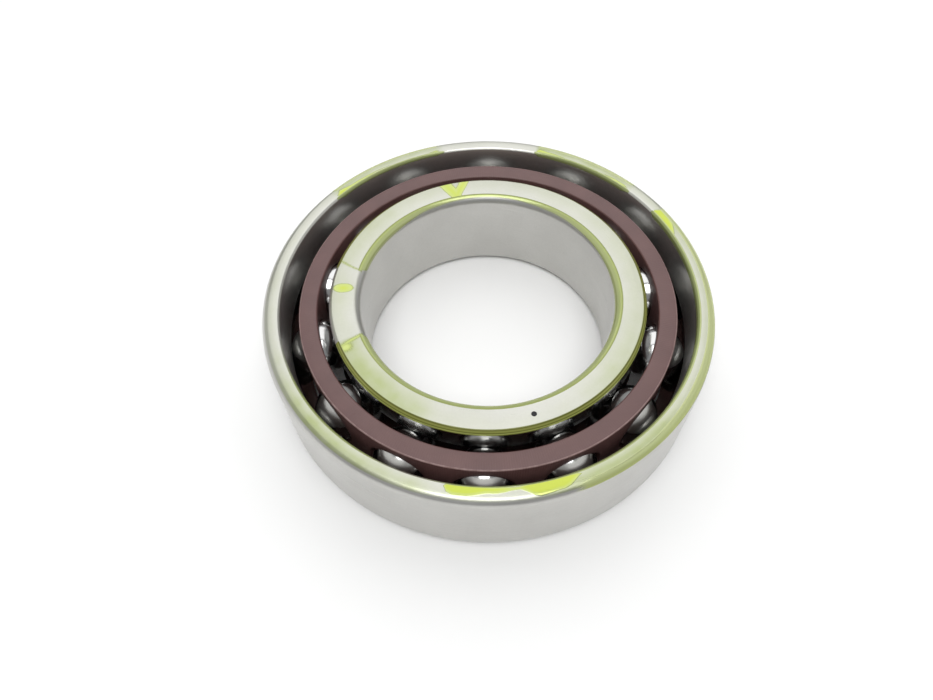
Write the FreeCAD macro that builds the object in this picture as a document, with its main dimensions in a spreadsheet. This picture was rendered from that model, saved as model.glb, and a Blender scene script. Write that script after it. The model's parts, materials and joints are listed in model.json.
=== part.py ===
import FreeCAD, Part

import math
import os

import Sketcher
from FreeCAD import Placement, Rotation, Vector

# Single-row angular contact ball bearing, 35 x 62 x 14 mm.
#
# Two ground steel rings, a row of steel balls and a one-piece cage turned from
# fabric-reinforced phenolic. The outer ring is counterbored on its front side, so the
# balls go in from there, and the cage runs on the outer ring's high land.
#
# Frame: millimetres, +Z along the bearing's axis. The origin is on that axis in the
# plane of the back faces, so the bearing stands on z = 0 with its front side up.

# Driving dimensions: name, value in millimetres or degrees, and what it sets.
DIMENSIONS = [
    ("bore_diameter", 35.0, "bore of the inner ring"),
    ("outside_diameter", 62.0, "outside of the outer ring"),
    ("ring_width", 14.0, "width of both rings"),
    ("corner_radial", 1.0, "mounting corner, measured along the face"),
    ("corner_axial", 1.2, "mounting corner, measured along the axis"),
    ("corner_sweep", 1.35, "radius of the turned arc in a mounting corner"),
    ("ball_diameter", 7.938, "5/16 inch balls"),
    ("ball_count", 14, "balls in the row"),
    ("first_ball_azimuth", -90.0, "angle of the first ball from +X"),
    ("contact_angle", 15.0, "line of contact from the radial plane"),
    ("inner_conformity", 0.52, "inner groove radius over ball diameter"),
    ("outer_conformity", 0.53, "outer groove radius over ball diameter"),
    ("race_gap", 0.02, "gap between a ball and each raceway on the contact line"),
    ("inner_land_height", 1.57, "inner land above the bottom of its groove"),
    ("outer_land_height", 1.82, "outer land above the bottom of its groove"),
    ("inner_land_chamfer", 0.45, "both outer edges of the inner ring"),
    ("outer_land_chamfer", 0.4, "back edge of the outer land"),
    ("retaining_lip", 0.22, "counterbore below the groove bottom, at mid width"),
    ("counterbore_flare", 0.46, "counterbore's growth from mid width to the face"),
    ("mouth_chamfer", 0.25, "edge where the counterbore meets the front face"),
    ("least_front_face", 0.6, "narrowest that the outer ring's front face may get"),
    ("groove_edge_radius", 0.15, "rounding where a groove meets a land"),
    ("cage_recess", 1.4, "each end of the cage below the ring faces"),
    ("cage_guide_gap", 0.3, "cage to the outer land it runs on"),
    ("cage_inner_gap", 1.8, "cage to the inner lands"),
    ("cage_chamfer", 0.15, "edges of the cage's two ends"),
    ("pocket_gap", 0.13, "ball to the wall of its pocket"),
    ("mark_diameter", 0.72, "high-point mark on the inner ring"),
    ("mark_depth", 0.06, "depth of the high-point mark"),
    ("mark_azimuth", -72.5, "angle of the high-point mark from +X"),
]

# Sizes that follow from the driving dimensions, as expressions on the sheet.
BORE_RADIUS = "Dimensions.bore_diameter / 2"
RIM_RADIUS = "Dimensions.outside_diameter / 2"
WIDTH = "Dimensions.ring_width"
MID_PLANE = "Dimensions.ring_width / 2"
PITCH_RADIUS = "(Dimensions.bore_diameter + Dimensions.outside_diameter) / 4"
BALL_RADIUS = "Dimensions.ball_diameter / 2"
INNER_GROOVE_RADIUS = "Dimensions.inner_conformity * Dimensions.ball_diameter"
OUTER_GROOVE_RADIUS = "Dimensions.outer_conformity * Dimensions.ball_diameter"
INNER_OFFSET = f"({INNER_GROOVE_RADIUS} - {BALL_RADIUS} - Dimensions.race_gap)"
OUTER_OFFSET = f"({OUTER_GROOVE_RADIUS} - {BALL_RADIUS} - Dimensions.race_gap)"
INNER_CENTRE = (
    f"{PITCH_RADIUS} + {INNER_OFFSET} * cos(Dimensions.contact_angle)",
    f"{MID_PLANE} - {INNER_OFFSET} * sin(Dimensions.contact_angle)",
)
OUTER_CENTRE = (
    f"{PITCH_RADIUS} - {OUTER_OFFSET} * cos(Dimensions.contact_angle)",
    f"{MID_PLANE} + {OUTER_OFFSET} * sin(Dimensions.contact_angle)",
)
INNER_GROOVE_BOTTOM = f"{INNER_CENTRE[0]} - {INNER_GROOVE_RADIUS}"
OUTER_GROOVE_BOTTOM = f"{OUTER_CENTRE[0]} + {OUTER_GROOVE_RADIUS}"
INNER_LAND = f"({INNER_GROOVE_BOTTOM} + Dimensions.inner_land_height)"
OUTER_LAND = f"({OUTER_GROOVE_BOTTOM} - Dimensions.outer_land_height)"
COUNTERBORE = f"({OUTER_GROOVE_BOTTOM} - Dimensions.retaining_lip)"
WIDEST_MOUTH = (
    f"{RIM_RADIUS} - Dimensions.corner_radial"
    " - Dimensions.mouth_chamfer - Dimensions.least_front_face"
)
MOUTH = f"min({COUNTERBORE} + Dimensions.counterbore_flare; {WIDEST_MOUTH})"
CAGE_OUTSIDE = f"({OUTER_LAND} - Dimensions.cage_guide_gap)"
CAGE_INSIDE = f"({INNER_LAND} + Dimensions.cage_inner_gap)"
CAGE_TOP = f"({WIDTH} - Dimensions.cage_recess)"
POCKET_RADIUS = f"({BALL_RADIUS} + Dimensions.pocket_gap)"
MARK_RADIUS = (
    f"({BORE_RADIUS} + Dimensions.corner_radial + {INNER_LAND}"
    " - Dimensions.inner_land_chamfer) / 2"
)

# Sketcher's own numbers for a sketch's axes and for the points of its geometry.
HORIZONTAL_AXIS = -1
VERTICAL_AXIS = -2
ORIGIN_POINT = (-1, 1)
START, END, CENTRE = 1, 2, 3
EDGE_MATCH = 1e-4  # mm, how closely an edge is matched to its expected place
LEAST_CUT = 1e-6  # mm3, less than this and a cut has missed
FULL_TURN = 360

doc = FreeCAD.newDocument("AngularContactBearing")


def make_sheet():
    """The spreadsheet of driving dimensions: name, value and note in a row each."""
    sheet = doc.addObject("Spreadsheet::Sheet", "Dimensions")
    for row, (name, value, note) in enumerate(DIMENSIONS, start=1):
        sheet.set(f"A{row}", name)
        sheet.set(f"B{row}", str(value))
        sheet.setAlias(f"B{row}", name)
        sheet.set(f"C{row}", note)
    doc.recompute()
    return sheet


def value_of(expression):
    """A sheet expression's present value as a plain number."""
    result = sheet.evalExpression(expression)
    return float(getattr(result, "Value", result))


def make_body(label):
    body = doc.addObject("PartDesign::Body", label)
    body.Label = label
    body.Placement = Placement(Vector(0, 0, 0), Rotation())
    return body


def origin_feature(body, role):
    return next(f for f in body.Origin.OriginFeatures if f.Role == role)


def make_sketch(body, name, plane="XZ_Plane", lift=None):
    """A sketch on one of the body's own origin planes, lifted along Z by an expression."""
    sketch = body.newObject("Sketcher::SketchObject", name)
    sketch.AttachmentSupport = [(origin_feature(body, plane), "")]
    sketch.MapMode = "FlatFace"
    if lift is not None:
        sketch.setExpression("AttachmentOffset.Base.z", lift)
    return sketch


def fix_point(sketch, geometry, point, name, across, up):
    """Holds a sketch point at two expressions, measured from the sketch's origin."""
    directions = (
        ("DistanceX", f"{name}_across", across, VERTICAL_AXIS),
        ("DistanceY", f"{name}_up", up, HORIZONTAL_AXIS),
    )
    for kind, label, expression, zero_line in directions:
        if expression == "0":
            sketch.addConstraint(Sketcher.Constraint("PointOnObject", geometry, point, zero_line))
            continue
        distance = Sketcher.Constraint(kind, *ORIGIN_POINT, geometry, point, value_of(expression))
        sketch.renameConstraint(sketch.addConstraint(distance), label)
        sketch.setExpression(f"Constraints.{label}", expression)


def fix_radius(sketch, geometry, label, radius):
    constraint = Sketcher.Constraint("Radius", geometry, value_of(radius))
    sketch.renameConstraint(sketch.addConstraint(constraint), label)
    sketch.setExpression(f"Constraints.{label}", radius)


def outward_arc(start, end, radius, inside):
    """An arc from start to end that bulges away from the point inside, and whether it
    runs anticlockwise from start to end."""
    chord = end - start
    reach = math.sqrt(radius**2 - (chord.Length / 2) ** 2)
    towards_centre = Vector(-chord.y, chord.x, 0).normalize()
    anticlockwise = (inside - start).dot(towards_centre) > 0
    if not anticlockwise:
        towards_centre = -towards_centre
    centre = (start + end) * 0.5 + towards_centre * reach
    first, last = (math.atan2(p.y - centre.y, p.x - centre.x) for p in (start, end))
    if not anticlockwise:
        first, last = last, first
    circle = Part.Circle(centre, Vector(0, 0, 1), radius)
    return Part.ArcOfCircle(circle, first, last), anticlockwise


def add_profile(sketch, corners):
    """A closed outline through the corners, each (name, across, up, link). The link to
    the next corner is None for a straight line, or the expression of an arc's radius."""
    points = [Vector(value_of(across), value_of(up), 0) for _, across, up, _ in corners]
    inside = sum(points, Vector()) * (1 / len(points))
    sides = []
    for i, (name, _, _, link) in enumerate(corners):
        start, end = points[i], points[(i + 1) % len(points)]
        if link is None:
            index = sketch.addGeometry(Part.LineSegment(start, end), False)
            sides.append((index, START, END))
            continue
        arc, anticlockwise = outward_arc(start, end, value_of(link), inside)
        index = sketch.addGeometry(arc, False)
        sides.append((index, START, END) if anticlockwise else (index, END, START))
        fix_radius(sketch, index, f"{name}_sweep", link)
    for i, (name, across, up, _) in enumerate(corners):
        index, first, last = sides[i]
        next_index, next_first, _ = sides[(i + 1) % len(sides)]
        meeting = Sketcher.Constraint("Coincident", index, last, next_index, next_first)
        sketch.addConstraint(meeting)
        fix_point(sketch, index, first, name, across, up)


def add_circle(sketch, name, radius, across, up):
    centre = Vector(value_of(across), value_of(up), 0)
    circle = Part.Circle(centre, Vector(0, 0, 1), value_of(radius))
    index = sketch.addGeometry(circle, False)
    fix_radius(sketch, index, f"{name}_radius", radius)
    fix_point(sketch, index, CENTRE, name, across, up)


def turn(body, kind, name, sketch):
    """A full turn of a sketch about the bearing's axis: a Revolution or a Groove."""
    before = body.Shape.Volume if kind == "Groove" else None
    feature = body.newObject(f"PartDesign::{kind}", name)
    feature.Profile = sketch
    feature.ReferenceAxis = (sketch, ["V_Axis"])
    feature.Angle = FULL_TURN
    doc.recompute()
    if before is not None:
        check_cut(feature, before)
    return feature


def check_cut(feature, before):
    if not feature.Shape.Volume < before - LEAST_CUT:
        raise RuntimeError(f"{feature.Label} removed nothing")


def groove_edges(shape, land, skipped_heights):
    """Names of the circular edges on a land, but for those at the skipped heights."""
    found = []
    for number, edge in enumerate(shape.Edges, start=1):
        curve = edge.Curve
        if not isinstance(curve, Part.Circle) or abs(curve.Radius - land) > EDGE_MATCH:
            continue
        if all(abs(curve.Center.z - height) > EDGE_MATCH for height in skipped_heights):
            found.append(f"Edge{number}")
    return found


def ease(body, name, base, edges):
    """Rounds the edges where a groove meets a land."""
    if not edges:
        raise RuntimeError(f"{name} has no edges to round")
    fillet = body.newObject("PartDesign::Fillet", name)
    fillet.Base = (base, edges)
    fillet.setExpression("Radius", "Dimensions.groove_edge_radius")
    doc.recompute()
    return fillet


def make_inner_ring():
    """Both lands alike, a groove for the balls, and a small round high-point mark."""
    body = make_body("inner_ring")
    face_start = f"{BORE_RADIUS} + Dimensions.corner_radial"
    face_end = f"{INNER_LAND} - Dimensions.inner_land_chamfer"
    outline = make_sketch(body, "InnerRingOutline")
    add_profile(
        outline,
        [
            ("back_face_inner", face_start, "0", None),
            ("back_face_outer", face_end, "0", None),
            ("back_land", INNER_LAND, "Dimensions.inner_land_chamfer", None),
            ("front_land", INNER_LAND, f"{WIDTH} - Dimensions.inner_land_chamfer", None),
            ("front_face_outer", face_end, WIDTH, None),
            ("front_face_inner", face_start, WIDTH, "Dimensions.corner_sweep"),
            ("bore_front", BORE_RADIUS, f"{WIDTH} - Dimensions.corner_axial", None),
            ("bore_back", BORE_RADIUS, "Dimensions.corner_axial", "Dimensions.corner_sweep"),
        ],
    )
    turn(body, "Revolution", "InnerRingBlank", outline)
    raceway = make_sketch(body, "InnerRacewaySection")
    add_circle(raceway, "groove", INNER_GROOVE_RADIUS, *INNER_CENTRE)
    groove = turn(body, "Groove", "InnerRaceway", raceway)
    chamfer = value_of("Dimensions.inner_land_chamfer")
    chamfer_heights = (chamfer, value_of(WIDTH) - chamfer)
    edges = groove_edges(groove.Shape, value_of(INNER_LAND), chamfer_heights)
    make_mark(body, ease(body, "InnerGrooveEdges", groove, edges))
    return body


def make_mark(body, base):
    """The round mark etched at the ring's highest point of run-out."""
    sketch = make_sketch(body, "HighPointMark", "XY_Plane", WIDTH)
    angle = "Dimensions.mark_azimuth"
    add_circle(
        sketch,
        "mark",
        "Dimensions.mark_diameter / 2",
        f"{MARK_RADIUS} * cos({angle})",
        f"{MARK_RADIUS} * sin({angle})",
    )
    before = base.Shape.Volume
    pocket = body.newObject("PartDesign::Pocket", "HighPointMarkPocket")
    pocket.Profile = sketch
    pocket.setExpression("Length", "Dimensions.mark_depth")
    doc.recompute()
    check_cut(pocket, before)


def make_outer_ring():
    """One high land at the back, and a flared counterbore from the groove to the front."""
    body = make_body("outer_ring")
    face_end = f"{RIM_RADIUS} - Dimensions.corner_radial"
    outline = make_sketch(body, "OuterRingOutline")
    add_profile(
        outline,
        [
            ("back_face_inner", f"{OUTER_LAND} + Dimensions.outer_land_chamfer", "0", None),
            ("back_face_outer", face_end, "0", "Dimensions.corner_sweep"),
            ("rim_back", RIM_RADIUS, "Dimensions.corner_axial", None),
            ("rim_front", RIM_RADIUS, f"{WIDTH} - Dimensions.corner_axial", "Dimensions.corner_sweep"),
            ("front_face_outer", face_end, WIDTH, None),
            ("front_face_inner", f"{MOUTH} + Dimensions.mouth_chamfer", WIDTH, None),
            ("mouth", MOUTH, f"{WIDTH} - Dimensions.mouth_chamfer", None),
            ("counterbore_foot", COUNTERBORE, MID_PLANE, None),
            ("land_front", OUTER_LAND, MID_PLANE, None),
            ("land_back", OUTER_LAND, "Dimensions.outer_land_chamfer", None),
        ],
    )
    turn(body, "Revolution", "OuterRingBlank", outline)
    raceway = make_sketch(body, "OuterRacewaySection")
    add_circle(raceway, "groove", OUTER_GROOVE_RADIUS, *OUTER_CENTRE)
    groove = turn(body, "Groove", "OuterRaceway", raceway)
    chamfer_height = value_of("Dimensions.outer_land_chamfer")
    edges = groove_edges(groove.Shape, value_of(OUTER_LAND), (chamfer_height,))
    ease(body, "OuterGrooveEdge", groove, edges)
    return body


def make_cage():
    """A turned ring with one round pocket drilled through its wall for each ball."""
    body = make_body("cage")
    outline = make_sketch(body, "CageOutline")
    chamfer = "Dimensions.cage_chamfer"
    add_profile(
        outline,
        [
            ("back_inner", f"{CAGE_INSIDE} + {chamfer}", "Dimensions.cage_recess", None),
            ("back_outer", f"{CAGE_OUTSIDE} - {chamfer}", "Dimensions.cage_recess", None),
            ("outside_back", CAGE_OUTSIDE, f"Dimensions.cage_recess + {chamfer}", None),
            ("outside_front", CAGE_OUTSIDE, f"{CAGE_TOP} - {chamfer}", None),
            ("front_outer", f"{CAGE_OUTSIDE} - {chamfer}", CAGE_TOP, None),
            ("front_inner", f"{CAGE_INSIDE} + {chamfer}", CAGE_TOP, None),
            ("inside_front", CAGE_INSIDE, f"{CAGE_TOP} - {chamfer}", None),
            ("inside_back", CAGE_INSIDE, f"Dimensions.cage_recess + {chamfer}", None),
        ],
    )
    turn(body, "Revolution", "CageBlank", outline)
    drilling = make_sketch(body, "PocketOutline", "YZ_Plane")
    add_circle(drilling, "pocket", POCKET_RADIUS, "0", MID_PLANE)
    before = body.Shape.Volume
    drill = body.newObject("PartDesign::Pocket", "BallPocket")
    drill.Profile = drilling
    drill.setExpression("Length", RIM_RADIUS)
    drill.Reversed = True
    doc.recompute()
    check_cut(drill, before)
    around = body.newObject("PartDesign::PolarPattern", "BallPockets")
    around.Originals = [drill]
    around.Axis = (origin_feature(body, "Z_Axis"), [""])
    around.Angle = FULL_TURN
    around.setExpression("Occurrences", "Dimensions.ball_count")
    body.Tip = around
    body.setExpression("Placement.Rotation.Angle", "Dimensions.first_ball_azimuth")
    doc.recompute()
    check_cut(around, drill.Shape.Volume)
    return body


def make_ball(number):
    """One steel ball at its place in the row, counted from 1."""
    label = f"ball_{number:02d}"
    ball = doc.addObject("Part::Sphere", label)
    ball.Label = label
    ball.setExpression("Radius", BALL_RADIUS)
    turned = f"{number - 1} * {FULL_TURN} / Dimensions.ball_count"
    azimuth = f"(Dimensions.first_ball_azimuth + {turned})"
    ball.setExpression("Placement.Base.x", f"{PITCH_RADIUS} * cos({azimuth})")
    ball.setExpression("Placement.Base.y", f"{PITCH_RADIUS} * sin({azimuth})")
    ball.setExpression("Placement.Base.z", MID_PLANE)
    return ball


def check_document():
    for item in doc.Objects:
        if {"Invalid", "Error"} & set(item.State):
            raise RuntimeError(f"{item.Label} did not compute: {item.State}")


def export(parts):
    os.makedirs("parts", exist_ok=True)
    for item in parts:
        if item.Shape.isNull() or not item.Shape.isValid():
            raise RuntimeError(f"{item.Label} has no valid shape")
    for item in parts:
        item.Shape.exportStep(os.path.join("parts", f"{item.Label}.step"))
        print(f"{item.Label}: {item.Shape.Volume:.2f} mm3")


sheet = make_sheet()
parts = [make_outer_ring(), make_inner_ring(), make_cage()]
for number in range(1, round(value_of("Dimensions.ball_count")) + 1):
    parts.append(make_ball(number))
doc.recompute()
check_document()
export(parts)
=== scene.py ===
import json
import math

import bpy
from mathutils import Matrix, Vector


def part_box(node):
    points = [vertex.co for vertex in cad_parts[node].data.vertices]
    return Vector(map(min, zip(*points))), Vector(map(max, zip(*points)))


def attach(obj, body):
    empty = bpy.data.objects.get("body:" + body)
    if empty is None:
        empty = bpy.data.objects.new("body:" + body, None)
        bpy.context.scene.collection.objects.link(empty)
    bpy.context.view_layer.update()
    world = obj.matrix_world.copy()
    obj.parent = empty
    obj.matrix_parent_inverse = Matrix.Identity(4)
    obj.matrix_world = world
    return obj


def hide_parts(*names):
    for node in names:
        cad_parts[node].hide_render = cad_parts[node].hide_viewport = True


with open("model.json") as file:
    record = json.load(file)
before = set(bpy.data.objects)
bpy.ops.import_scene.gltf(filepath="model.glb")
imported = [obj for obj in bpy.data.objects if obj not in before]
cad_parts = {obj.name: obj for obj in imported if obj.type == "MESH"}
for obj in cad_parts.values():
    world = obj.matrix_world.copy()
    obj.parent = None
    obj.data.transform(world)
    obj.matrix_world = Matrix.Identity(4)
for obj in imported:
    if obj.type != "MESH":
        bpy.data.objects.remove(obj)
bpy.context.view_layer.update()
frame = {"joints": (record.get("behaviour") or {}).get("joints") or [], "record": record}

mm = 0.001
weldGap = 1e-6  # points nearer than this become one
arcStep = 4  # degrees of an arc between two points of a section
smoothAngle = 40  # degrees; sharper edges stay sharp in the shading
print("frame loaded")

# small helpers


def linear(hexColour):
    # an sRGB hex colour as the linear RGBA that a socket takes
    channels = [int(hexColour[i:i + 2], 16) / 255 for i in (1, 3, 5)]
    return [c / 12.92 if c <= 0.04045 else ((c + 0.055) / 1.055) ** 2.4 for c in channels] + [1.0]


def addNode(tree, kind, links={}, stops=(), blend="LINEAR", **settings):
    # a node with its settings; a link is given as a socket, anything else is a plain value
    node = tree.nodes.new(kind)
    for name, value in settings.items():
        setattr(node, name, value)
    for name, value in links.items():
        if isinstance(value, bpy.types.NodeSocket):
            tree.links.new(value, node.inputs[name])
        else:
            node.inputs[name].default_value = value
    if stops:
        ramp = node.color_ramp
        ramp.interpolation = blend
        for place, colour in stops[1:-1]:
            ramp.elements.new(place).color = colour
        for element, (place, colour) in zip((ramp.elements[0], ramp.elements[-1]), (stops[0], stops[-1])):
            element.position = place
            element.color = colour
    return node


def newMaterial(name):
    material = bpy.data.materials.new(name)
    material.use_nodes = True
    tree = material.node_tree
    tree.nodes.clear()
    return material, tree


def deselectAll():
    if bpy.context.object and bpy.context.object.mode != "OBJECT":
        bpy.ops.object.mode_set(mode="OBJECT")
    bpy.ops.object.select_all(action="DESELECT")


def pick(piece):
    deselectAll()
    piece.select_set(True)
    bpy.context.view_layer.objects.active = piece


def useModifier(piece, kind, **settings):
    # adds a modifier and applies it
    pick(piece)
    modifier = piece.modifiers.new(kind.title(), kind)
    for name, value in settings.items():
        setattr(modifier, name, value)
    bpy.ops.object.modifier_apply(modifier=modifier.name)


def settle(piece):
    # the place goes into the mesh, so that the object itself sits at the origin
    pick(piece)
    bpy.ops.object.transform_apply(location=True, rotation=True, scale=True)


def turnSection(name, outline, around):
    # draws a section in the XZ plane, one stroke at a time, and turns it about Z.
    # a stroke is (radius, height) for a straight run, or (radius, height, sweep) for an arc of
    # that radius: anticlockwise when positive, clockwise when negative. Sizes in mm.
    deselectAll()
    start = outline[0]
    bpy.ops.mesh.primitive_plane_add(size=mm, location=(start[0] * mm, 0, start[1] * mm))
    piece = bpy.context.object
    piece.name = name
    piece.data.name = name
    bpy.ops.object.transform_apply(location=True)
    bpy.ops.object.mode_set(mode="EDIT")
    bpy.ops.mesh.select_mode(type="VERT")
    bpy.ops.mesh.select_all(action="SELECT")
    bpy.ops.mesh.merge(type="CENTER")
    here = Vector((start[0], 0, start[1]))
    for stroke in outline[1:] + [start[:2]]:
        there = Vector((stroke[0], 0, stroke[1]))
        chord = there - here
        if len(stroke) == 2:
            bpy.ops.mesh.extrude_region_move(TRANSFORM_OT_translate={"value": chord * mm})
        else:
            sweep = abs(stroke[2])
            side = math.copysign(1, stroke[2])
            reach = math.sqrt(sweep ** 2 - (chord.length / 2) ** 2)
            centre = (here + there) / 2 + Vector((-chord.z, 0, chord.x)).normalized() * reach * side
            angle = 2 * math.asin(chord.length / 2 / sweep)
            steps = max(3, round(math.degrees(angle) / arcStep))
            bpy.ops.mesh.spin(steps=steps, angle=angle * side, center=centre * mm, axis=(0, 1, 0))
        here = there
    bpy.ops.mesh.select_all(action="SELECT")
    bpy.ops.mesh.remove_doubles(threshold=weldGap)
    bpy.ops.mesh.spin(steps=around, angle=2 * math.pi, center=(0, 0, 0), axis=(0, 0, 1))
    bpy.ops.mesh.select_all(action="SELECT")
    bpy.ops.mesh.remove_doubles(threshold=weldGap)
    bpy.ops.mesh.normals_make_consistent(inside=False)
    bpy.ops.object.mode_set(mode="OBJECT")
    return piece


def easeEdges(piece, width, angle):
    # breaks the sharp edges as a tumbler or a file does, then smooths the shading
    useModifier(piece, "BEVEL", width=width * mm, segments=2, limit_method="ANGLE",
                angle_limit=math.radians(angle), harden_normals=False)
    bpy.ops.object.shade_smooth_by_angle(angle=math.radians(smoothAngle))


def paintFaces(piece, slotIndex, test):
    # gives a material slot to the faces whose centre passes the test of (radius, height), in mm
    for face in piece.data.polygons:
        radius = math.hypot(face.center.x, face.center.y) / mm
        if test(radius, face.center.z / mm):
            face.material_index = slotIndex


# sizes read from the frame, in mm

mounts = {mount["name"]: mount for mount in frame["record"]["mounts"]}
joints = {joint["name"]: joint for joint in frame["joints"]}
boreRadius = mounts["bore"]["dims"]["r_mm"]
rimRadius = mounts["outside_diameter"]["dims"]["r_mm"]
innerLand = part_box("inner_ring")[1].x / mm
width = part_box("outer_ring")[1].z / mm
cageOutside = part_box("cage")[1].x / mm
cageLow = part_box("cage")[0].z / mm
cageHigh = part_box("cage")[1].z / mm
ballCentres = [Vector(joint["pos_m"]) for name, joint in joints.items() if name.startswith("ball")]
ballAxes = [Vector(joint["axis"]) for name, joint in joints.items() if name.startswith("ball")]
pitchRadius = math.hypot(ballCentres[0].x, ballCentres[0].y) / mm
midPlane = ballCentres[0].z / mm
ballRadius = (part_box("ball_01")[1].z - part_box("ball_01")[0].z) / 2 / mm

# camera, floor and light

view = {
    "lens": 27.61,
    "sensor": 36.0,
    "place": (0.0, -0.0605, 0.0922),
    "turn": (32.97, 0.83, 1.64),  # degrees
}

cameraData = bpy.data.cameras.new("camera")
cameraData.lens = view["lens"]
cameraData.sensor_width = view["sensor"]
cameraData.clip_start = 0.005
camera = bpy.data.objects.new("camera", cameraData)
camera.location = view["place"]
camera.rotation_euler = [math.radians(angle) for angle in view["turn"]]
bpy.context.scene.collection.objects.link(camera)
bpy.context.scene.camera = camera

table = {
    "size": 12.0,
    "drop": 0.05,  # mm, keeps it clear of the rings' backs
    "colour": "#F4F4F3",
    "peel": 1.5,  # mm, the faint ripple of the laminate
}

deselectAll()
bpy.ops.mesh.primitive_plane_add(size=table["size"], location=(0, 0, -table["drop"] * mm))
floor = bpy.context.object
floor.name = "floor"

lights = {
    "overhead": {"place": (0.0, -0.24, 0.72), "aim": (0, 0, 0), "size": 0.5, "watts": 3.2},
    "behind": {"place": (0.0, 0.42, 0.55), "aim": (0, 0.05, 0), "size": 0.8, "watts": 2.55},
    "left": {"place": (-0.70, 0.1, 0.40), "aim": (0, 0, 0), "size": 0.9, "watts": 0.9},
    "right": {"place": (0.70, 0.1, 0.40), "aim": (0, 0, 0), "size": 0.9, "watts": 0.9},
}

for name, light in lights.items():
    data = bpy.data.lights.new(name, "AREA")
    data.shape = "SQUARE"
    data.size = light["size"]
    data.energy = light["watts"]
    lamp = bpy.data.objects.new(name, data)
    lamp.location = light["place"]
    aim = Vector(light["aim"]) - lamp.location
    lamp.rotation_euler = aim.to_track_quat("-Z", "Y").to_euler()
    bpy.context.scene.collection.objects.link(lamp)

room = {"colour": "#F2F3F5", "strength": 0.36}
world = bpy.data.worlds.new("room")
bpy.context.scene.world = world
world.use_nodes = True
world.node_tree.nodes["Background"].inputs["Color"].default_value = linear(room["colour"])
world.node_tree.nodes["Background"].inputs["Strength"].default_value = room["strength"]
bpy.context.scene.view_settings.view_transform = "Standard"
print("camera and light set")

# materials


def tableMaterial():
    # pressed laminate, matt white with a faint orange peel: keeps the ground plain and pale
    material, tree = newMaterial("pressedWhiteLaminate")
    where = addNode(tree, "ShaderNodeTexCoord").outputs["Object"]
    peel = addNode(tree, "ShaderNodeTexNoise", {
        "Vector": where, "Scale": 1 / (table["peel"] * mm), "Detail": 1.0}).outputs[0]
    bump = addNode(tree, "ShaderNodeBump", {
        "Height": peel, "Strength": 0.2, "Distance": 0.01 * mm}).outputs[0]
    shader = addNode(tree, "ShaderNodeBsdfPrincipled", {
        "Base Color": linear(table["colour"]), "Roughness": 0.8, "Normal": bump})
    addNode(tree, "ShaderNodeOutputMaterial", {"Surface": shader.outputs["BSDF"]})
    return material


floor.data.materials.append(tableMaterial())


def polarPlace(tree):
    # radius and height in mm, the turn about the axis from 0 to 1, and the direction outwards
    where = addNode(tree, "ShaderNodeTexCoord").outputs["Object"]
    axes = addNode(tree, "ShaderNodeSeparateXYZ", {"Vector": where})
    flat = addNode(tree, "ShaderNodeVectorMath", {0: where, 1: (1, 1, 0)}, operation="MULTIPLY").outputs[0]
    metres = addNode(tree, "ShaderNodeVectorMath", {0: flat}, operation="LENGTH").outputs["Value"]
    radius = addNode(tree, "ShaderNodeMath", {0: metres, 1: 1 / mm}, operation="MULTIPLY").outputs[0]
    height = addNode(tree, "ShaderNodeMath", {0: axes.outputs["Z"], 1: 1 / mm},
                     operation="MULTIPLY").outputs[0]
    outward = addNode(tree, "ShaderNodeVectorMath", {0: flat}, operation="NORMALIZE").outputs[0]
    angle = addNode(tree, "ShaderNodeMath", {0: axes.outputs["Y"], 1: axes.outputs["X"]},
                    operation="ARCTAN2").outputs[0]
    turns = addNode(tree, "ShaderNodeMath", {0: angle, 1: 1 / (2 * math.pi), 2: 1.0},
                    operation="MULTIPLY_ADD").outputs[0]
    turn = addNode(tree, "ShaderNodeMath", {0: turns}, operation="FRACT").outputs[0]
    return {"place": where, "radius": radius, "height": height, "turn": turn, "outward": outward}


groundFinish = {
    "colour": "#C7C6C2",
    "darker": "#C0BFBB",
    "roughness": (0.27, 0.40),
    "lineSpacing": 0.14,  # mm; real grinding lines are about 0.02 mm apart, drawn coarser to show
    "lineDepth": 0.0016,  # mm
    "lineRun": 36.0,  # degrees round the ring before a line fades
    "speck": 0.35,  # mm, the grain of the satin
    "cloud": 7.0,  # mm, slow change of shade
    "metallic": 0.88,  # a breath of oil all over scatters a little light
}


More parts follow.
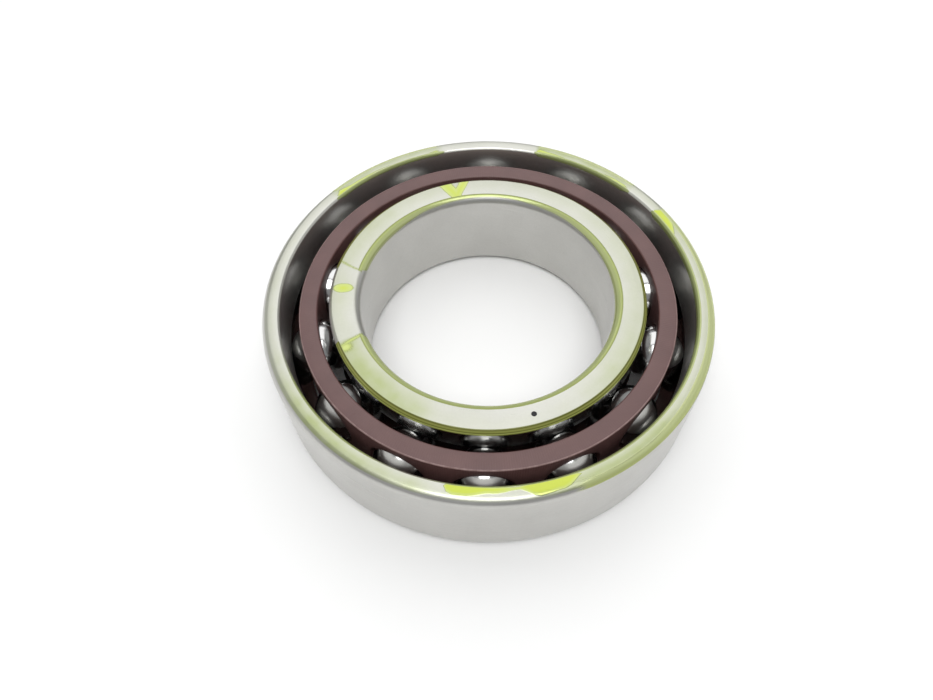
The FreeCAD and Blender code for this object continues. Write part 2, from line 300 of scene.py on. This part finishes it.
def groundLines(tree, polar, finish):
    # lines that follow the grinding wheel round the axis, and the colour and gloss they give
    slow = addNode(tree, "ShaderNodeVectorMath", {
        0: polar["outward"], "Scale": math.degrees(1) / finish["lineRun"]}, operation="SCALE").outputs[0]
    lift = addNode(tree, "ShaderNodeMath", {0: polar["height"], 1: 1 / finish["lineSpacing"]},
                   operation="MULTIPLY").outputs[0]
    raised = addNode(tree, "ShaderNodeCombineXYZ", {"Z": lift}).outputs[0]
    along = addNode(tree, "ShaderNodeVectorMath", {0: slow, 1: raised}, operation="ADD").outputs[0]
    across = addNode(tree, "ShaderNodeMath", {0: polar["radius"], 1: 1 / finish["lineSpacing"]},
                     operation="MULTIPLY").outputs[0]
    grind = addNode(tree, "ShaderNodeTexNoise", {
        "Vector": along, "W": across, "Scale": 1.0, "Detail": 3.0, "Roughness": 0.65},
        noise_dimensions="4D").outputs[0]
    speck = addNode(tree, "ShaderNodeTexNoise", {
        "Vector": polar["place"], "Scale": 1 / (finish["speck"] * mm), "Detail": 2.0}).outputs[0]
    cloud = addNode(tree, "ShaderNodeTexNoise", {
        "Vector": polar["place"], "Scale": 1 / (finish["cloud"] * mm), "Detail": 2.0}).outputs[0]
    mixed = addNode(tree, "ShaderNodeMath", {0: speck, 1: 0.5, 2: cloud},
                    operation="MULTIPLY_ADD").outputs[0]
    shade = addNode(tree, "ShaderNodeMapRange", {
        "Value": mixed, "From Min": 0.55, "From Max": 0.95}).outputs[0]
    colour = addNode(tree, "ShaderNodeMix", {
        "Factor": shade, "A": linear(finish["darker"]), "B": linear(finish["colour"])},
        data_type="RGBA").outputs["Result"]
    rough = addNode(tree, "ShaderNodeMapRange", {
        "Value": grind, "From Min": 0.3, "From Max": 0.7,
        "To Min": finish["roughness"][0], "To Max": finish["roughness"][1]}).outputs[0]
    return grind, colour, rough


def oiledGroundSteel(name, finish, oil):
    # chromium bearing steel ground to a satin, with slushing oil drawn into films, rims and drops:
    # the steel is a warm pale grey, thin oil tints it green and thick oil turns it a clear yellow
    # the rims are partly painted light: on the inner ring their dark and bright bands are painted shade and
    # painted highlight of the rounded corners
    material, tree = newMaterial(name)
    polar = polarPlace(tree)
    grind, steelColour, steelRough = groundLines(tree, polar, finish)

    # the edges of the films wander a little
    wander = addNode(tree, "ShaderNodeTexNoise", {
        "Vector": polar["place"], "Scale": 1 / (oil["waver"] * mm), "Detail": 2.0}).outputs[0]
    shift = addNode(tree, "ShaderNodeMath", {0: wander, 1: 0.5}, operation="SUBTRACT").outputs[0]
    turn = addNode(tree, "ShaderNodeMath", {0: shift, 1: oil["wander"][0] / 360, 2: polar["turn"]},
                   operation="MULTIPLY_ADD").outputs[0]
    radius = addNode(tree, "ShaderNodeMath", {0: shift, 1: oil["wander"][1], 2: polar["radius"]},
                     operation="MULTIPLY_ADD").outputs[0]
    across = addNode(tree, "ShaderNodeMapRange", {
        "Value": radius, "From Min": oil["face"][0], "From Max": oil["face"][1]}, clamp=False).outputs[0]
    faceTop = addNode(tree, "ShaderNodeMapRange", {
        "Value": polar["height"],
        "From Min": width - oil["faceBand"][0], "From Max": width - oil["faceBand"][1]}).outputs[0]
    rimTop = addNode(tree, "ShaderNodeMapRange", {
        "Value": polar["height"],
        "From Min": width - oil["rimBand"][0], "From Max": width - oil["rimBand"][1]}).outputs[0]

    # round the ring: red says how far the film reaches across, green the tint, blue the rims
    zones = addNode(tree, "ShaderNodeValToRGB", {"Fac": turn}, blend="EASE", stops=[
        (degrees / 360, (reach, tint, rim, 1)) for degrees, reach, tint, rim in oil["zones"]]).outputs[0]
    parts = addNode(tree, "ShaderNodeSeparateColor", {"Color": zones})
    centred = addNode(tree, "ShaderNodeMath", {0: across, 1: 2.0, 2: -1.0},
                      operation="MULTIPLY_ADD").outputs[0]
    bowed = addNode(tree, "ShaderNodeMath", {0: centred, 1: centred}, operation="MULTIPLY").outputs[0]
    rounding = addNode(tree, "ShaderNodeMath", {0: bowed, 1: oil["roundness"]},
                       operation="MULTIPLY").outputs[0]
    limit = addNode(tree, "ShaderNodeMath", {0: across, 1: rounding}, operation="MAXIMUM").outputs[0]
    reach = addNode(tree, "ShaderNodeMath", {0: parts.outputs["Red"], 1: oil["overrun"]},
                    operation="MULTIPLY").outputs[0]
    depth = addNode(tree, "ShaderNodeMath", {0: reach, 1: limit}, operation="SUBTRACT").outputs[0]
    # drops and runs that lie on their own, each the shape of a leaning ellipse
    for at, lean, middle, halfWidth, halfLength, deep in oil["drops"]:
        aside = addNode(tree, "ShaderNodeMath", {0: turn, 1: 360.0, 2: -at},
                        operation="MULTIPLY_ADD").outputs[0]
        upright = addNode(tree, "ShaderNodeMath", {0: across, 1: -lean, 2: aside},
                          operation="MULTIPLY_ADD").outputs[0]
        sideways = addNode(tree, "ShaderNodeMath", {0: upright, 1: 1 / halfWidth},
                           operation="MULTIPLY").outputs[0]
        endways = addNode(tree, "ShaderNodeMath", {0: across, 1: 1 / halfLength, 2: -middle / halfLength},
                          operation="MULTIPLY_ADD").outputs[0]
        spot = addNode(tree, "ShaderNodeCombineXYZ", {"X": sideways, "Y": endways}).outputs[0]
        away = addNode(tree, "ShaderNodeVectorMath", {0: spot}, operation="LENGTH").outputs["Value"]
        lens = addNode(tree, "ShaderNodeMath", {0: away, 1: -(deep + oil["skin"]), 2: deep},
                       operation="MULTIPLY_ADD").outputs[0]
        depth = addNode(tree, "ShaderNodeMath", {0: depth, 1: lens}, operation="MAXIMUM").outputs[0]
    film = addNode(tree, "ShaderNodeMapRange", {
        "Value": depth, "From Min": -oil["skin"], "From Max": oil["filmEdge"]}).outputs[0]
    # the colour runs from the outline at the film's edge, painted shade of the meniscus, to the thick oil's
    # yellow
    filmColour = addNode(tree, "ShaderNodeValToRGB", {"Fac": depth}, stops=[
        (0.0, linear(oil["outline"])), (oil["paleDepth"], linear(oil["thinner"])),
        (oil["fullDepth"], linear(oil["thick"]))]).outputs[0]

    # across the ring: the rims along the corners, each colour with its strength as alpha; where a table gives
    # the rims dark and bright bands, these are painted shade and painted highlight
    bands = addNode(tree, "ShaderNodeMapRange", {
        "Value": polar["radius"], "From Min": oil["rimSpan"][0], "From Max": oil["rimSpan"][1]}).outputs[0]
    rimSpan = oil["rimSpan"][1] - oil["rimSpan"][0]
    rims = addNode(tree, "ShaderNodeValToRGB", {"Fac": bands}, stops=[
        ((at - oil["rimSpan"][0]) / rimSpan, linear(colour)[:3] + [strength])
        for at, colour, strength in oil["rims"]])
    held = addNode(tree, "ShaderNodeMath", {0: rims.outputs["Alpha"], 1: parts.outputs["Blue"]},
                   operation="ADD").outputs[0]
    rimHere = addNode(tree, "ShaderNodeMapRange", {
        "Value": held, "From Min": 1.0, "From Max": 1.0 + oil["rimEdge"]}).outputs[0]

    patchy = addNode(tree, "ShaderNodeMapRange", {
        "Value": wander, "From Min": 0.3, "From Max": 0.7,
        "To Min": oil["patches"][0], "To Max": oil["patches"][1]}).outputs[0]
    drained = addNode(tree, "ShaderNodeMapRange", {
        "Value": across, "From Min": 0.0, "From Max": oil["drained"][1],
        "To Min": oil["drained"][0], "To Max": 1.0}).outputs[0]
    lying = addNode(tree, "ShaderNodeMath", {0: patchy, 1: drained}, operation="MULTIPLY").outputs[0]
    tintHere = addNode(tree, "ShaderNodeMath", {0: parts.outputs["Green"], 1: lying},
                       operation="MULTIPLY").outputs[0]

    # tint, then film, then rims, and only on the marked end
    tintShown = addNode(tree, "ShaderNodeMath", {0: tintHere, 1: faceTop}, operation="MULTIPLY").outputs[0]
    filmShown = addNode(tree, "ShaderNodeMath", {0: film, 1: faceTop}, operation="MULTIPLY").outputs[0]
    rimShown = addNode(tree, "ShaderNodeMath", {0: rimHere, 1: rimTop}, operation="MULTIPLY").outputs[0]
    tinted = addNode(tree, "ShaderNodeMix", {
        "Factor": tintShown, "A": steelColour, "B": linear(oil["thin"])}, data_type="RGBA").outputs["Result"]
    filmed = addNode(tree, "ShaderNodeMix", {
        "Factor": filmShown, "A": tinted, "B": filmColour}, data_type="RGBA").outputs["Result"]
    colour = addNode(tree, "ShaderNodeMix", {
        "Factor": rimShown, "A": filmed, "B": rims.outputs["Color"]}, data_type="RGBA").outputs["Result"]
    wet = addNode(tree, "ShaderNodeMath", {0: filmShown, 1: rimShown}, operation="MAXIMUM").outputs[0]
    rough = addNode(tree, "ShaderNodeMix", {
        "Factor": wet, "A": steelRough, "B": oil["roughness"]}, data_type="FLOAT").outputs["Result"]
    metal = addNode(tree, "ShaderNodeMix", {
        "Factor": wet, "A": finish["metallic"], "B": oil["metallic"]}, data_type="FLOAT").outputs["Result"]
    relief = addNode(tree, "ShaderNodeMath", {0: grind, 1: finish["lineDepth"]},
                     operation="MULTIPLY").outputs[0]
    level = addNode(tree, "ShaderNodeMath", {0: wet, 1: oil["depth"], 2: relief},
                    operation="MULTIPLY_ADD").outputs[0]
    bump = addNode(tree, "ShaderNodeBump", {"Height": level, "Strength": 1.0, "Distance": mm}).outputs[0]
    shader = addNode(tree, "ShaderNodeBsdfPrincipled", {
        "Base Color": colour, "Metallic": metal, "Roughness": rough, "Normal": bump})
    addNode(tree, "ShaderNodeOutputMaterial", {"Surface": shader.outputs["BSDF"]})
    return material


honedFinish = {"name": "honedRacewaySteel", "colour": "#C4C4C2", "roughness": 0.12, "haze": 2.8}
ballFinish = {"name": "lappedBallSteel", "colour": "#CBCBCA", "roughness": 0.12, "haze": 2.8}


def polishedSteel(finish):
    # the same steel honed or lapped to a mirror, with a breath of oil haze
    material, tree = newMaterial(finish["name"])
    polar = polarPlace(tree)
    haze = addNode(tree, "ShaderNodeTexNoise", {
        "Vector": polar["place"], "Scale": 1 / (finish["haze"] * mm), "Detail": 3.0})
    rough = addNode(tree, "ShaderNodeMapRange", {
        "Value": haze.outputs[0], "From Min": 0.35, "From Max": 0.7,
        "To Min": finish["roughness"], "To Max": finish["roughness"] * 1.8})
    shader = addNode(tree, "ShaderNodeBsdfPrincipled", {
        "Base Color": linear(finish["colour"]), "Metallic": 1.0, "Roughness": rough.outputs[0]})
    addNode(tree, "ShaderNodeOutputMaterial", {"Surface": shader.outputs["BSDF"]})
    return material


cageFinish = {
    "name": "turnedFabricPhenolic",
    "colour": "#694A47",
    "darker": "#533837",
    "thread": "#8A6C68",
    # edge: the colour of the painted highlight along the top outer rim
    "edge": "#C4AAA6",
    "plySpacing": 0.28,  # mm between wound cloth plies
    "threads": 520,  # round the ring, about 0.3 mm apart
    "weaveDepth": 0.006,  # mm
    "slub": 0.7,  # mm, thick and thin places in the thread
    "resin": 4.0,  # mm, richer and poorer places in the resin
}


def fabricPhenolic(finish):
    # cloth wound up in brown resin and turned: dull, with plies round the ends, a weave on the walls
    # and a painted highlight: a paler line along the top outer rim
    material, tree = newMaterial(finish["name"])
    polar = polarPlace(tree)
    plies = addNode(tree, "ShaderNodeMath", {0: polar["radius"], 1: 2 * math.pi / finish["plySpacing"]},
                    operation="MULTIPLY").outputs[0]
    ply = addNode(tree, "ShaderNodeMath", {0: plies}, operation="SINE").outputs[0]
    rows = addNode(tree, "ShaderNodeMath", {0: polar["height"], 1: 2 * math.pi / finish["plySpacing"]},
                   operation="MULTIPLY").outputs[0]
    row = addNode(tree, "ShaderNodeMath", {0: rows}, operation="SINE").outputs[0]
    ends = addNode(tree, "ShaderNodeMath", {0: polar["turn"], 1: 2 * math.pi * finish["threads"]},
                   operation="MULTIPLY").outputs[0]
    end = addNode(tree, "ShaderNodeMath", {0: ends}, operation="SINE").outputs[0]
    layers = addNode(tree, "ShaderNodeMath", {0: ply, 1: row}, operation="MULTIPLY").outputs[0]
    weave = addNode(tree, "ShaderNodeMath", {0: end, 1: 0.5, 2: layers},
                    operation="MULTIPLY_ADD").outputs[0]
    slub = addNode(tree, "ShaderNodeTexNoise", {
        "Vector": polar["place"], "Scale": 1 / (finish["slub"] * mm), "Detail": 3.0}).outputs[0]
    resin = addNode(tree, "ShaderNodeTexNoise", {
        "Vector": polar["place"], "Scale": 1 / (finish["resin"] * mm), "Detail": 3.0}).outputs[0]
    body = addNode(tree, "ShaderNodeMix", {
        "Factor": resin, "A": linear(finish["darker"]), "B": linear(finish["colour"])},
        data_type="RGBA").outputs["Result"]
    shown = addNode(tree, "ShaderNodeMath", {0: weave, 1: slub}, operation="MULTIPLY").outputs[0]
    fleck = addNode(tree, "ShaderNodeMapRange", {
        "Value": shown, "From Min": 0.1, "From Max": 0.9, "To Min": 0.0, "To Max": 0.35}).outputs[0]
    clothed = addNode(tree, "ShaderNodeMix", {
        "Factor": fleck, "A": body, "B": linear(finish["thread"])}, data_type="RGBA").outputs["Result"]
    # painted highlight: the top outer rim is lightened towards the edge colour, in patches
    rim = addNode(tree, "ShaderNodeMapRange", {
        "Value": polar["radius"], "From Min": cageOutside - 0.2, "From Max": cageOutside - 0.1}).outputs[0]
    high = addNode(tree, "ShaderNodeMapRange", {
        "Value": polar["height"], "From Min": cageHigh - 0.16, "From Max": cageHigh - 0.06}).outputs[0]
    highlightedRimBand = addNode(tree, "ShaderNodeMath", {0: rim, 1: high}, operation="MULTIPLY").outputs[0]
    paintedRimHighlight = addNode(tree, "ShaderNodeMath", {0: highlightedRimBand, 1: slub}, operation="MULTIPLY").outputs[0]
    colour = addNode(tree, "ShaderNodeMix", {
        "Factor": paintedRimHighlight, "A": clothed, "B": linear(finish["edge"])}, data_type="RGBA").outputs["Result"]
    relief = addNode(tree, "ShaderNodeMath", {0: weave, 1: finish["weaveDepth"]},
                     operation="MULTIPLY").outputs[0]
    bump = addNode(tree, "ShaderNodeBump", {"Height": relief, "Strength": 1.0, "Distance": mm}).outputs[0]
    shader = addNode(tree, "ShaderNodeBsdfPrincipled", {
        "Base Color": colour, "Roughness": 0.4, "IOR": 1.55, "Normal": bump})
    addNode(tree, "ShaderNodeOutputMaterial", {"Surface": shader.outputs["BSDF"]})
    return material


# oil on the marked ends. A zone is (degrees round, reach of the thick film across the face from its
# inner edge, tint of the thin film, spread of the rims). A rim is (radius in mm, colour, hold), and
# shows where its hold and the zone's spread come to more than one. A drop is (degrees at the inner
# edge, degrees it leans on its way out, middle across the face, half width in degrees, half length
# across the face, depth)

oilLook = {
    "thin": "#9EA776",
    "thinner": "#BDC878",
    "thick": "#BAC64A",
    # painted shade: the darker edge given to every film and drop, for the shading of its meniscus
    "outline": "#7F8B35",
    "roughness": 0.22,
    "metallic": 0.35,
    "depth": 0.02,  # mm
    "waver": 2.4,  # mm from one wave of an edge to the next
    "faceBand": (0.3, 0.2),  # mm below the marked end where films fade out
    "rimBand": (1.1, 0.9),  # the same for the rims
    "roundness": 0.5,  # how far a film's edge bows in where it meets the corners
    "overrun": 1.15,  # a full film goes this far across, over the corner
    "skin": 0.02,  # depth that still wets the steel
    "filmEdge": 0.05,  # depth at which a film covers
    "paleDepth": 0.07,
    "fullDepth": 0.35,
    "rimEdge": 0.15,
    "patches": (0.75, 1.0),  # the tint, where it has pulled thin and where it is whole
    "drained": (0.5, 0.6),  # the tint at the inner edge, and how far across it is whole again
}

outerOil = dict(oilLook, face=(28.74, 30.1), wander=(1.2, 0.25), rimSpan=(28.4, 31.0), drops=[], zones=[
    (0, 0, 0.5, 1.0), (20, 0.1, 0.55, 1.0), (27, 0.8, 0.7, 1.0), (28, 1.0, 0.8, 1.0), (31, 0.9, 0.8, 0.9),
    (32, 0, 0.4, 0), (43, 0, 0.3, 0), (44, 0.3, 0.8, 0.8), (47, 0.3, 0.9, 0.8), (60, 0, 0.9, 0.8),
    (71, 0.3, 0.9, 0.8), (74.4, 0.5, 1.0, 0.8), (75.4, 0, 0.2, 0), (105, 0, 0.2, 0), (106, 0.3, 0.7, 0.6),
    (112, 0.1, 0.7, 0.6), (136, 0.3, 0.8, 0.6), (141, 0.6, 0.8, 0.8), (143, 0, 0.25, 0), (195, 0, 0.35, 0),
    (230, 0, 1.0, 0.3), (252, 0, 0.7, 0), (260.5, 0, 0.3, 0.1), (262, 0.8, 0.4, 0.25), (265, 0.8, 0.4, 0.25),
    (272, 0.5, 0.3, 0.25), (278, 0.3, 0.3, 0.25), (282.5, 1.0, 0.5, 0.25), (288, 0.9, 0.8, 0.25),
    (295, 0, 1.0, 0.5), (312, 0, 1.0, 0.5), (332, 0, 0.5, 1.0)],
    rims=[(28.44, "#8C9560", 0.0), (28.5, "#8C9560", 1.0), (28.74, "#98A16A", 1.0), (28.86, "#A9B27C", 0.6),
          (28.95, "#B5BA8D", 0.0), (29.75, "#B5BA8D", 0.0), (29.9, "#B5BC88", 0.5), (30.3, "#BAC28C", 0.7),
          (30.8, "#A9B26E", 0.7), (30.92, "#8C9560", 0.0)])

innerOilAndCornerShading = dict(oilLook, face=(18.5, 21.38), wander=(1.2, 0.2), rimSpan=(17.4, 22.0), zones=[
    (0, 0, 0.45, 1.0), (60, 0, 0.35, 0.6), (90, 0, 0.3, 0.4), (120, 0, 0.4, 0.6), (145, 0, 0.6, 1.0),
    (167, 0, 0.5, 1.0), (168.5, 0, 0.3, 0.6), (169.5, 0, 0.3, 0), (183, 0, 0.5, 0), (195, 0, 0.35, 0),
    (204, 0, 0.3, 0), (206, 0, 0.9, 1.0), (230, 0, 1.0, 1.0), (243, 0, 0.8, 1.0), (256, 0, 0.3, 1.0),
    (280, 0, 0.2, 1.0), (302, 0, 0.25, 1.0), (322, 0, 0.6, 1.0), (360, 0, 0.45, 1.0)],
    drops=[
        (105.1, 3.3, 0.5, 3.0, 3.0, 0.3), (105.1, -4.8, 0.5, 2.6, 3.0, 0.3),  # one drop run out as a V
        (179.7, 0, 0.5, 2.4, 0.54, 0.35),  # a round drop
        (169.2, -2.3, 0.5, 1.0, 3.0, 0.035),  # the ends of the wet part, where the oil has drawn a line
        (204.9, 2.0, 0.5, 1.4, 3.0, 0.06), (207.9, 0, 0.8, 2.6, 0.42, 0.1)],
    # these rims are oil with painted light in them: the darker olive lines are painted shade and the pale
    # ones painted highlight of the rounded corners, and the bright band at the outer corner, also on the
    # land, is a painted highlight
    rims=[(17.4, "#C8C6AE", 0.0), (17.56, "#B6BA92", 0.1), (17.72, "#9AA266", 0.4), (17.85, "#B2BA84", 0.5),
          (18.2, "#AEB87A", 0.8), (18.36, "#98A160", 1.0), (18.48, "#7E8749", 1.0), (18.56, "#A8B078", 0.0),
          (21.26, "#A8B078", 0.0), (21.36, "#54551E", 1.0), (21.45, "#6C6E30", 1.0), (21.54, "#989C50", 1.0),
          (21.64, "#8C9044", 1.0), (21.72, "#565822", 1.0), (21.78, "#B4BC64", 1.0), (22.0, "#BAC26C", 1.0)])

outerSteel = oiledGroundSteel("groundBearingSteelOuter", groundFinish, outerOil)
innerSteel = oiledGroundSteel("groundBearingSteelInner", groundFinish, innerOilAndCornerShading)
markFinish = {"name": "etchedBlackSteel", "colour": "#1C1C1E", "grain": 0.11}


def etchedMark(finish):
    # the high-point dot, etched: black and dead matt, with the grain of the acid
    material, tree = newMaterial(finish["name"])
    polar = polarPlace(tree)
    grain = addNode(tree, "ShaderNodeTexNoise", {
        "Vector": polar["place"], "Scale": 1 / (finish["grain"] * mm), "Detail": 2.0}).outputs[0]
    rough = addNode(tree, "ShaderNodeMapRange", {"Value": grain, "To Min": 0.55, "To Max": 0.85}).outputs[0]
    bump = addNode(tree, "ShaderNodeBump", {
        "Height": grain, "Strength": 0.6, "Distance": 0.01 * mm}).outputs[0]
    shader = addNode(tree, "ShaderNodeBsdfPrincipled", {
        "Base Color": linear(finish["colour"]), "Roughness": rough, "Normal": bump})
    addNode(tree, "ShaderNodeOutputMaterial", {"Surface": shader.outputs["BSDF"]})
    return material


blackEtch = etchedMark(markFinish)
steelHoned = polishedSteel(honedFinish)
steelBall = polishedSteel(ballFinish)
phenolic = fabricPhenolic(cageFinish)
print("materials made")

# outer ring

outer = {
    "corner": (1.0, 1.2, 1.35),  # along the face, along the axis, sweep of the arc
    "faceInner": 28.736,
    "mouthChamfer": 0.25,
    "lip": 28.026,  # counterbore where it meets the middle plane
    "land": 26.426,
    "landChamfer": 0.4,
    "grooveRadius": 0.53 * 2 * ballRadius,
    "contactAngle": 15.0,
    "raceGap": 0.02,
    "around": 288,
    "edge": 0.05,
}


def grooveCentre(grooveRadius, side):
    # a groove is wider than the ball, so its centre lies off the ball's, along the line of contact
    offset = (grooveRadius - ballRadius - outer["raceGap"]) * side
    lean = math.radians(outer["contactAngle"])
    return pitchRadius + offset * math.cos(lean), midPlane - offset * math.sin(lean)


def outerRing():
    along, deep, sweep = outer["corner"]
    groove = outer["grooveRadius"]
    centreRadius, centreHeight = grooveCentre(groove, -1)
    mouth = outer["faceInner"] - outer["mouthChamfer"]
    flare = (mouth - outer["lip"]) / (width - outer["mouthChamfer"] - midPlane)
    # where the flared counterbore runs into the groove, closed in on step by step
    frontRadius = outer["lip"]
    for _ in range(20):
        frontHeight = centreHeight + math.sqrt(groove ** 2 - (frontRadius - centreRadius) ** 2)
        frontRadius = outer["lip"] + flare * (frontHeight - midPlane)
    landHeight = centreHeight - math.sqrt(groove ** 2 - (outer["land"] - centreRadius) ** 2)
    ring = turnSection("outerRing", [
        (outer["land"] + outer["landChamfer"], 0),
        (rimRadius - along, 0),
        (rimRadius, deep, sweep),
        (rimRadius, width - deep),
        (rimRadius - along, width, sweep),
        (outer["faceInner"], width),
        (mouth, width - outer["mouthChamfer"]),
        (frontRadius, frontHeight),
        (outer["land"], landHeight, -groove),
        (outer["land"], outer["landChamfer"]),
    ], outer["around"])
    easeEdges(ring, outer["edge"], 25)
    ring.data.materials.append(outerSteel)
    ring.data.materials.append(steelHoned)
    low = outer["landChamfer"] + outer["edge"]
    paintFaces(ring, 1, lambda radius, height: radius < outer["faceInner"] and low < height < frontHeight)
    return ring


outerPiece = outerRing()
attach(outerPiece, "outer_ring")
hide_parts("outer_ring")
print("outer ring made")

# inner ring

inner = {
    "corner": (1.0, 1.2, 1.35),
    "landChamfer": 0.45,
    # the oil on the top of the land also carries the bright band of the rims, a painted highlight
    "wetAndHighlightedLand": 0.7,  # how far down the land the oil of the end reaches
    "grooveRadius": 0.52 * 2 * ballRadius,
    "around": 240,
    "edge": 0.05,
    "markDiameter": 0.72,
    "markDepth": 0.06,
    "markRadius": 19.938,
    "markAzimuth": -72.5,
    "markSides": 48,
    "markSmooth": 30,  # degrees, keeps the dot's rim crisp
}


def innerRing():
    along, deep, sweep = inner["corner"]
    groove = inner["grooveRadius"]
    centreRadius, centreHeight = grooveCentre(groove, 1)
    reach = math.sqrt(groove ** 2 - (centreRadius - innerLand) ** 2)
    faceEnd = innerLand - inner["landChamfer"]
    ring = turnSection("innerRing", [
        (boreRadius + along, 0),
        (faceEnd, 0),
        (innerLand, inner["landChamfer"]),
        (innerLand, centreHeight - reach),
        (innerLand, centreHeight + reach, -groove),
        (innerLand, width - inner["wetAndHighlightedLand"]),
        (innerLand, width - inner["landChamfer"]),
        (faceEnd, width),
        (boreRadius + along, width),
        (boreRadius, width - deep, sweep),
        (boreRadius, deep),
        (boreRadius + along, 0, sweep),
    ], inner["around"])
    easeEdges(ring, inner["edge"], 25)
    ring.data.materials.append(innerSteel)
    ring.data.materials.append(steelHoned)
    low, high = inner["landChamfer"] + inner["edge"], width - inner["wetAndHighlightedLand"]
    paintFaces(ring, 1, lambda radius, height: radius > boreRadius + along and low < height < high)

    # the high-point dot is sunk into the face
    deselectAll()
    spot = math.radians(inner["markAzimuth"])
    out = inner["markRadius"]
    bpy.ops.mesh.primitive_cylinder_add(
        vertices=inner["markSides"], radius=inner["markDiameter"] / 2 * mm, depth=2 * inner["markDepth"] * mm,
        location=Vector((out * math.cos(spot), out * math.sin(spot), width)) * mm)
    punch = bpy.context.object
    punch.data.materials.append(blackEtch)
    ring.data.materials.append(blackEtch)
    useModifier(ring, "BOOLEAN", object=punch, operation="DIFFERENCE", solver="EXACT",
                material_mode="TRANSFER")
    bpy.data.objects.remove(punch)
    bpy.ops.object.shade_smooth_by_angle(angle=math.radians(inner["markSmooth"]))
    return ring


innerPiece = innerRing()
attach(innerPiece, "inner_ring")
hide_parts("inner_ring")
print("inner ring made")

# cage

cage = {
    "wall": 2.5,
    "chamfer": 0.15,
    "pocketGap": 0.13,
    "around": 24,  # steps in each pocket's share of the ring
    "pocketSides": 96,
    "edge": 0.06,
}


def makeCage():
    inside = cageOutside - cage["wall"]
    chamfer = cage["chamfer"]
    ring = turnSection("cage", [
        (inside + chamfer, cageLow),
        (cageOutside - chamfer, cageLow),
        (cageOutside, cageLow + chamfer),
        (cageOutside, cageHigh - chamfer),
        (cageOutside - chamfer, cageHigh),
        (inside + chamfer, cageHigh),
        (inside, cageHigh - chamfer),
        (inside, cageLow + chamfer),
    ], cage["around"] * len(ballCentres))
    drills = []
    for centre in ballCentres:
        deselectAll()
        outward = Vector((centre.x, centre.y, 0)).normalized()
        bpy.ops.mesh.primitive_cylinder_add(
            vertices=cage["pocketSides"], radius=(ballRadius + cage["pocketGap"]) * mm,
            depth=3 * cage["wall"] * mm, location=centre,
            rotation=outward.to_track_quat("Z", "Y").to_euler())
        drills.append(bpy.context.object)
    for drill in drills:
        drill.select_set(True)
    bpy.ops.object.join()
    drill = bpy.context.object
    useModifier(ring, "BOOLEAN", object=drill, operation="DIFFERENCE", solver="EXACT")
    bpy.data.objects.remove(drill)
    easeEdges(ring, cage["edge"], 30)
    ring.data.materials.append(phenolic)
    return ring


cagePiece = makeCage()
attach(cagePiece, "cage")
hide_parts("cage")
print("cage made")

# balls

ball = {"cuts": 19}


def firstBall():
    # a cube cut fine and pushed out to a sphere, so that it has no poles to show in the gloss
    deselectAll()
    bpy.ops.mesh.primitive_cube_add(size=ballRadius * mm, location=(0, 0, 0))
    piece = bpy.context.object
    bpy.ops.object.mode_set(mode="EDIT")
    bpy.ops.mesh.select_all(action="SELECT")
    bpy.ops.mesh.subdivide(number_cuts=ball["cuts"])
    bpy.ops.transform.tosphere(value=1)
    bpy.ops.object.mode_set(mode="OBJECT")
    reached = piece.data.vertices[0].co.length
    bpy.ops.transform.resize(value=[ballRadius * mm / reached] * 3)
    settle(piece)
    bpy.ops.object.shade_smooth()
    piece.data.materials.append(steelBall)
    return piece


pattern = firstBall()
for number, (centre, axis) in enumerate(zip(ballCentres, ballAxes), start=1):
    node = f"ball_{number:02d}"
    piece = pattern.copy()
    piece.name = f"ball{number:02d}"
    piece.data = pattern.data.copy()
    piece.data.transform(Matrix.Translation(centre) @ axis.to_track_quat("Z", "Y").to_matrix().to_4x4())
    bpy.context.scene.collection.objects.link(piece)
    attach(piece, node)
    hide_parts(node)
bpy.data.objects.remove(pattern)
print("balls made")
